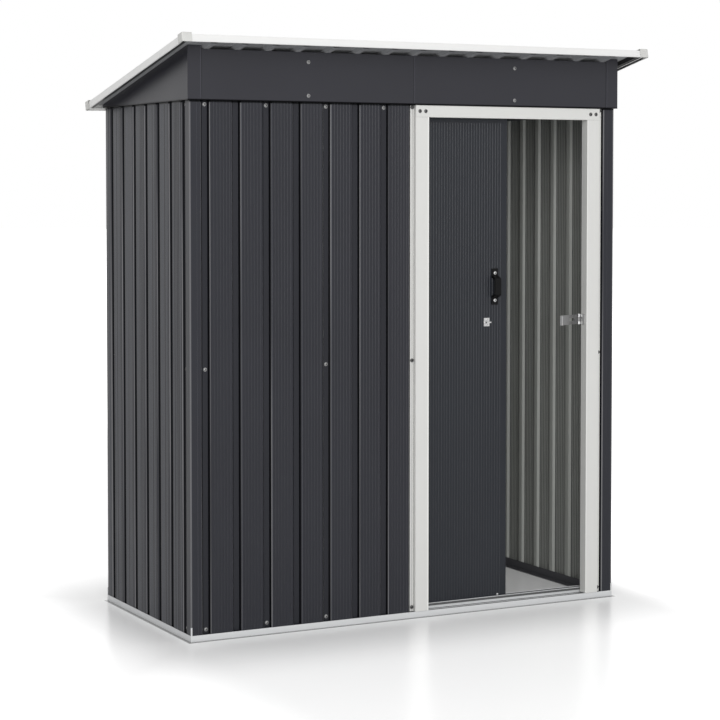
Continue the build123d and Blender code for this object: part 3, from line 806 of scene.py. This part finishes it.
class SHED_OT_paint_sheets(Operator):
    """Paints the ribbed walls and roof, with a lighter coat on their inside, and the flashing"""

    bl_idname = "shed.paint_sheets"
    bl_label = "Paint the ribbed sheets"

    def execute(self, context):
        colours = context.scene.shed_colours
        walls = satin_paint("wall_sheet", colours.sheet, back=colours.back_coat, outside=outside_of_walls)
        roof = satin_paint("roof_sheet", colours.sheet, back=colours.soffit, outside=outside_of_roof)
        for name in nodes_with_slot("dark_sheet"):
            dress(roof if name.startswith("roof") else walls, name)
        laps = (gable_lap - wall_right, fascia_joint, wall_right - gable_lap)
        flashing = satin_paint("flashing_sheet", colours.flashing, laps=laps)
        dress(flashing, *nodes_with_slot("dark_flashing"))
        return {"FINISHED"}


class SHED_OT_paint_trims(Operator):
    """Paints the white door frame, the roof trims and their corner caps"""

    bl_idname = "shed.paint_trims"
    bl_label = "Paint the white trims"

    def execute(self, context):
        colours = context.scene.shed_colours
        white = {"roughness": 0.34, "mottle": 0.02, "gloss": 0.5}
        frame_paint = satin_paint("frame_paint", colours.frame, corner_shade=corner_shade_reach, **white)
        jamb_paint = satin_paint("jamb_paint", colours.frame, corner_shade=corner_shade_reach, lines=jamb_highlight_and_shade_lines, **white)
        # The side trims' inner faces are painted dark: back coat and painted shade
        two_sided = {"back": colours.trim_back_and_shade, "outside": outside_of_trims}
        trim_paint = satin_paint("trim_paint", colours.trim, **two_sided, **white)
        dress(frame_paint, *nodes_with_slot("white_frame"))
        dress(jamb_paint, "door_jamb_left", "door_jamb_right")
        dress(trim_paint, *nodes_with_slot("white_trim"))
        dress(moulded_plastic("cap_plastic", colours.caps), *nodes_with_slot("white_plastic"))
        return {"FINISHED"}


class SHED_OT_paint_rails(Operator):
    """Coats the base rails and the rails and tracks inside"""

    bl_idname = "shed.paint_rails"
    bl_label = "Coat the rails"

    def execute(self, context):
        colours = context.scene.shed_colours
        pale = {"roughness": 0.40, "mottle": 0.04, "gloss": 0.5}
        rail_coat = satin_paint("rail_coat", colours.rail, corner_shade=corner_shade_reach, **pale)
        track_coat = satin_paint("track_coat", colours.rail, lines=track_shadow_lines, **pale)
        inner_coat = satin_paint("inner_rail_coat", colours.inner_rail, roughness=0.45, mottle=0.08)
        dress(rail_coat, *nodes_with_slot("light_rail"))
        dress(track_coat, "bottom_track")
        dress(inner_coat, *nodes_with_slot("inner_rail"))
        return {"FINISHED"}


class SHED_OT_finish_door(Operator):
    """Finishes the sliding leaf, its pull, its glides and the lock parts"""

    bl_idname = "shed.finish_door"
    bl_label = "Finish the door"

    def execute(self, context):
        colours = context.scene.shed_colours
        dress(satin_paint("door_paint", colours.door), *nodes_with_slot("door_sheet"))
        pull = moulded_plastic("pull_plastic", colours.pull, roughness=0.5, gloss=0.15)
        dress(pull, *nodes_with_slot("black_plastic"))
        dress(moulded_plastic("glide_nylon", colours.nylon), *nodes_with_slot("nylon_glide"))
        dress(zinc_plate("lock_zinc", colours.lock), *nodes_with_slot("zinc_steel"))
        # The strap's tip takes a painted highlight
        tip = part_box("hasp_strap")[0].x + strap_tip
        dress(zinc_plate("strap_zinc", colours.strap, tip), "hasp_strap")
        return {"FINISHED"}


def valley_line(first_panel, last_panel, pitches, axis):
    """The rib valleys' places along a face, from the two ends of its run of panels."""
    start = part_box(first_panel)[0][axis] + sheet_lap
    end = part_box(last_panel)[1][axis] - sheet_lap
    return [start + (end - start) * step / pitches for step in range(pitches + 1)]


def wall_seats(valleys, rows, to_place, inward):
    """Screw seats on a wall: rows of (height, valley numbers)."""
    return [
        seat_on_sheet(to_place(valleys[number], height), inward)
        for height, numbers in rows
        for number in numbers
    ]


def wall_rows(sizes, head, middle, foot):
    """The three heights at which a wall is screwed, each with its valleys' numbers."""
    return [(wall_top - sizes.head_row, head), (sizes.middle_row, middle), (sizes.foot_row, foot)]


class SHED_OT_screw_walls(Operator):
    """Screws the four walls to the rails, and the lapped seams to one another"""

    bl_idname = "shed.screw_walls"
    bl_label = "Screw the walls"

    def execute(self, context):
        sizes = context.scene.shed_screws
        along_front = valley_line("front_panel_1", "front_panel_2", front_pitches, 0)
        along_back = valley_line("back_panel_4", "back_panel_1", back_pitches, 0)
        along_side = valley_line("side_panel_left", "side_panel_left", side_pitches, 1)
        back_ends = (0, 2, 4, 7, 10, 12, 14)
        front_rows = wall_rows(sizes, (0, 2, 4, 6), (0, 4), (0, 2, 4))
        side_rows = wall_rows(sizes, (0, 2, 4, 6), (0, 6), (0, 2, 4, 6))
        back_rows = wall_rows(sizes, back_ends, (0, 4, 7, 10, 14), back_ends)
        walls = (
            (along_front, front_rows, lambda x, z: Vector((x, wall_front, z)), backward),
            (along_back, back_rows, lambda x, z: Vector((x, wall_back, z)), -backward),
            (along_side, side_rows, lambda y, z: Vector((wall_left, y, z)), rightward),
            (along_side, side_rows, lambda y, z: Vector((wall_right, y, z)), -rightward),
        )
        seats = [seat for wall in walls for seat in wall_seats(*wall)]
        metal = screw_metal("screw_zinc", context.scene.shed_colours.screw)
        fit_screws("wall_screws", seats, screw_inputs(metal, 3), "shed")
        return {"FINISHED"}


class SHED_OT_screw_front(Operator):
    """Screws the door frame and the fascia"""

    bl_idname = "shed.screw_front"
    bl_label = "Screw the door frame and fascia"

    def execute(self, context):
        sizes = context.scene.shed_screws
        colours = context.scene.shed_colours
        left_column = (flange_left + opening_left - frame_face) / 2
        right_column = (flange_right + opening_right + frame_face) / 2
        heights = (wall_top - frame_head_row, sizes.middle_row, sizes.foot_row)
        places = [(x, z) for x in (left_column, right_column) for z in heights]
        low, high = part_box("door_header")
        outer, inner = header_screws
        header_row = (low.z + high.z) / 2
        across = (low.x + outer, low.x + inner, high.x - inner, high.x - outer)
        places += [(x, header_row) for x in across]
        seats = [seat_on_sheet(Vector((x, wall_front, z)), backward) for x, z in places]
        metal = screw_metal("screw_dull", colours.dull_screw)
        fit_screws("frame_screws", seats, screw_inputs(metal, 5), "shed")
        sides = (-fascia_screw_side, fascia_screw_side)
        places = [(x, wall_top + z) for x in sides for z in fascia_screw_rows]
        seats = [seat_on_sheet(Vector((x, wall_front, z)), backward) for x, z in places]
        metal = screw_metal("fascia_screw_zinc", colours.screw)
        fit_screws("fascia_screws", seats, screw_inputs(metal, 6), "shed")
        return {"FINISHED"}


class SHED_OT_screw_roof(Operator):
    """Screws the roof sheets down through their valleys"""

    bl_idname = "shed.screw_roof"
    bl_label = "Screw the roof"

    def execute(self, context):
        first, *_, last = valley_line("roof_panel_2", "roof_panel_2", roof_panel_pitches, 0)
        pitch = (last - first) / roof_panel_pitches
        valleys = [first + pitch * step for step in range(-3, 12)]
        beam_front, beam_back = [corner.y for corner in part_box("roof_beam")]
        rows = [
            (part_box("fascia_left")[0].y + roof_front_row, valleys[::2]),
            ((beam_front + beam_back) / 2, valleys[::2]),
            (wall_back - roof_back_row, valleys[::2]),
            ((wall_front + beam_front) / 2, [valleys[3], valleys[7], valleys[11]]),
        ]
        seats = [
            seat_on_sheet(Vector((x, y, cad_box[1].z)), -upward, roof_seat_reach)
            for y, line in rows
            for x in line
        ]
        metal = screw_metal("roof_screw_zinc", context.scene.shed_colours.screw)
        fit_screws("roof_screws", seats, screw_inputs(metal, 7), "shed")
        return {"FINISHED"}


class SHED_OT_screw_door(Operator):
    """Screws the pull, the staple and a guide to the leaf, and the hasp's hinge to the jamb"""

    bl_idname = "shed.screw_door"
    bl_label = "Screw the door's fittings"

    def execute(self, context):
        sizes = context.scene.shed_screws
        bright = screw_metal("screw_bright", context.scene.shed_colours.zinc)
        small = screw_inputs(bright, 13, sizes.small_share)
        wide = screw_inputs(bright, 11)
        wide["Washer radius"] = sizes.washer_radius * pull_washer_share
        low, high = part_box("door_handle")
        places = [((low.x + high.x) / 2, low.y, z) for z in (low.z + pull_screw, high.z - pull_screw)]
        seats = [seat_on_sheet(Vector(place), backward) for place in places]
        fit_screws("pull_screws", seats, wide, "door")
        low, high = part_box("door_staple")
        places = [((low.x + high.x) / 2, low.y, z) for z in (low.z + staple_screw, high.z - staple_screw)]
        seats = [seat_on_sheet(Vector(place), backward) for place in places]
        fit_screws("staple_screws", seats, small, "door")
        low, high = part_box("door_leaf")
        seat = Vector((high.x - guide_screw_side, low.y, low.z + guide_screw_row))
        fit_screws("guide_screw", [seat_on_sheet(seat, backward)], small, "door")
        low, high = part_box("hasp_hinge")
        depth = high.y - hinge_screw_back
        places = [(low.x, depth, z) for z in (low.z + hinge_screw, high.z - hinge_screw)]
        seats = [seat_on_sheet(Vector(place), rightward, hinge_seat_reach) for place in places]
        fit_screws("hinge_screws", seats, small, "shed")
        return {"FINISHED"}


class SHED_OT_set_stage(Operator):
    """Sets the floor, the lights, the white surroundings and the camera"""

    bl_idname = "shed.set_stage"
    bl_label = "Set the studio"

    def execute(self, context):
        studio = context.scene.shed_studio
        context.scene.view_settings.view_transform = "Standard"
        lay_floor(studio)
        light_world(studio)
        hang_light("key_light", studio.key, key_size, key_place)
        hang_light("fill_light", studio.fill, fill_size, fill_place)
        stand_camera(studio)
        return {"FINISHED"}


def floor_paint(studio):
    """A pale glossy floor that turns plain white to the eye away from the shed, with painted shade where
    its white glow is weaker, beside the walls, inside and on the left, and a painted contact shadow round
    the rails.
    """
    material, tree = shader_tree("studio_floor")
    place = tree.node("ShaderNodeTexCoord", output="Object")
    x, y, _ = tree.split(place)
    beside = abs(x) - wall_right
    before = abs(y - wall_middle) - (wall_back - wall_middle)
    away = beside.most(before)
    # The white glow that the eye sees is weaker beside the walls, inside and on the left: painted shade on
    # the floor
    outdoors = tree.ramp(away, 0.0, studio.floor_reach, studio.near_share, 1.0) * (away > 0.0)
    under = 1 - tree.ramp(away, *inside_step)
    side_white = studio.side_lift - studio.left_loss * (x < 0.0)
    aside = tree.ramp(beside, 0.0, studio.floor_reach / 2) * side_white
    rays = tree.node("ShaderNodeLightPath").socket.node.outputs
    seen = Value(tree, rays["Is Camera Ray"])
    lift = seen * (outdoors * studio.floor_lift + aside + under * studio.inside_lift)
    white = tree.node("ShaderNodeEmission", {}, {"Color": (1, 1, 1, 1), "Strength": lift})
    # A painted contact shadow round the base rails
    contact_shade = (1 - tree.ramp(abs(away - rail_reach), *contact_shadow)) * (1 - under)
    shade = tree.blend(contact_shade, rgba(floor_white), rgba(contact_shadow_colour))
    inputs = {"Base Color": shade, "Roughness": 0.25, "Specular IOR Level": 0.38}
    ground = tree.node("ShaderNodeBsdfPrincipled", {}, inputs)
    both = tree.node("ShaderNodeAddShader", {}, {0: ground, 1: white})
    tree.node("ShaderNodeOutputMaterial", {}, {"Surface": both})
    return material


def lay_floor(studio):
    """A wide round floor, which isn't part of the shed."""
    mesh = bpy.data.meshes.new("floor")
    shape = bmesh.new()
    bmesh.ops.create_circle(shape, cap_ends=True, segments=96, radius=floor_radius)
    shape.to_mesh(mesh)
    shape.free()
    mesh.materials.append(floor_paint(studio))
    floor = bpy.data.objects.new("floor", mesh)
    bpy.context.scene.collection.objects.link(floor)


def light_world(studio):
    """White surroundings to the eye, to gloss and through glass, and plain soft light to all else."""
    world = bpy.data.worlds.new("studio")
    bpy.context.scene.world = world
    world.use_nodes = True
    tree = Tree(world.node_tree)
    rays = tree.node("ShaderNodeLightPath").socket.node.outputs
    straight, glossy, through = [
        Value(tree, rays[name]) for name in ("Is Camera Ray", "Is Glossy Ray", "Is Transmission Ray")
    ]
    clear = straight.most(glossy).most(through)
    strength = clear + (1 - clear) * studio.ambient
    sky = tree.node("ShaderNodeBackground", {}, {"Color": (1, 1, 1, 1), "Strength": strength})
    tree.node("ShaderNodeOutputWorld", {}, {"Surface": sky})


def hang_light(name, power, size, place):
    """A large square light turned to the middle of the shed."""
    lamp = bpy.data.lights.new(name, "AREA")
    lamp.energy = power
    lamp.size = size
    light = bpy.data.objects.new(name, lamp)
    light.location = place
    light.rotation_euler = (lit_point - place).to_track_quat("-Z", "Y").to_euler()
    bpy.context.scene.collection.objects.link(light)


def stand_camera(studio):
    """The camera at the photograph's place."""
    lens = bpy.data.cameras.new("camera")
    lens.lens = studio.lens
    lens.sensor_width = sensor_width
    lens.shift_y = camera_shift
    camera = bpy.data.objects.new("camera", lens)
    camera.location = camera_place
    camera.rotation_euler = (math.radians(90 - camera_dip), 0, math.radians(-camera_turn))
    bpy.context.scene.collection.objects.link(camera)
    bpy.context.scene.camera = camera


class SHED_PT_sidebar(Panel):
    """The shed's finishes, fittings and studio in the 3D view's sidebar"""

    bl_label = "Metal storage shed"
    bl_space_type = "VIEW_3D"
    bl_region_type = "UI"
    bl_category = "Shed"

    def draw(self, context):
        layout = self.layout
        for operator in operators:
            layout.operator(operator.bl_idname)
        scene = context.scene
        for group in (scene.shed_colours, scene.shed_screws, scene.shed_studio):
            box = layout.box()
            for name in group.bl_rna.properties.keys():
                if name not in ("rna_type", "name"):
                    box.prop(group, name)


property_groups = (ShedColours, ShedScrews, ShedStudio)
operators = (
    SHED_OT_paint_sheets,
    SHED_OT_paint_trims,
    SHED_OT_paint_rails,
    SHED_OT_finish_door,
    SHED_OT_screw_walls,
    SHED_OT_screw_front,
    SHED_OT_screw_roof,
    SHED_OT_screw_door,
    SHED_OT_set_stage,
)


def register():
    for item in (*property_groups, *operators, SHED_PT_sidebar):
        bpy.utils.register_class(item)
    bpy.types.Scene.shed_colours = PointerProperty(type=ShedColours)
    bpy.types.Scene.shed_screws = PointerProperty(type=ShedScrews)
    bpy.types.Scene.shed_studio = PointerProperty(type=ShedStudio)


def unregister():
    del bpy.types.Scene.shed_colours
    del bpy.types.Scene.shed_screws
    del bpy.types.Scene.shed_studio
    for item in reversed((*property_groups, *operators, SHED_PT_sidebar)):
        bpy.utils.unregister_class(item)


def main():
    register()
    bpy.ops.shed.paint_sheets()
    bpy.ops.shed.paint_trims()
    bpy.ops.shed.paint_rails()
    bpy.ops.shed.finish_door()
    bpy.ops.shed.screw_walls()
    bpy.ops.shed.screw_front()
    bpy.ops.shed.screw_roof()
    bpy.ops.shed.screw_door()
    bpy.ops.shed.set_stage()


if __name__ == "__main__":
    main()
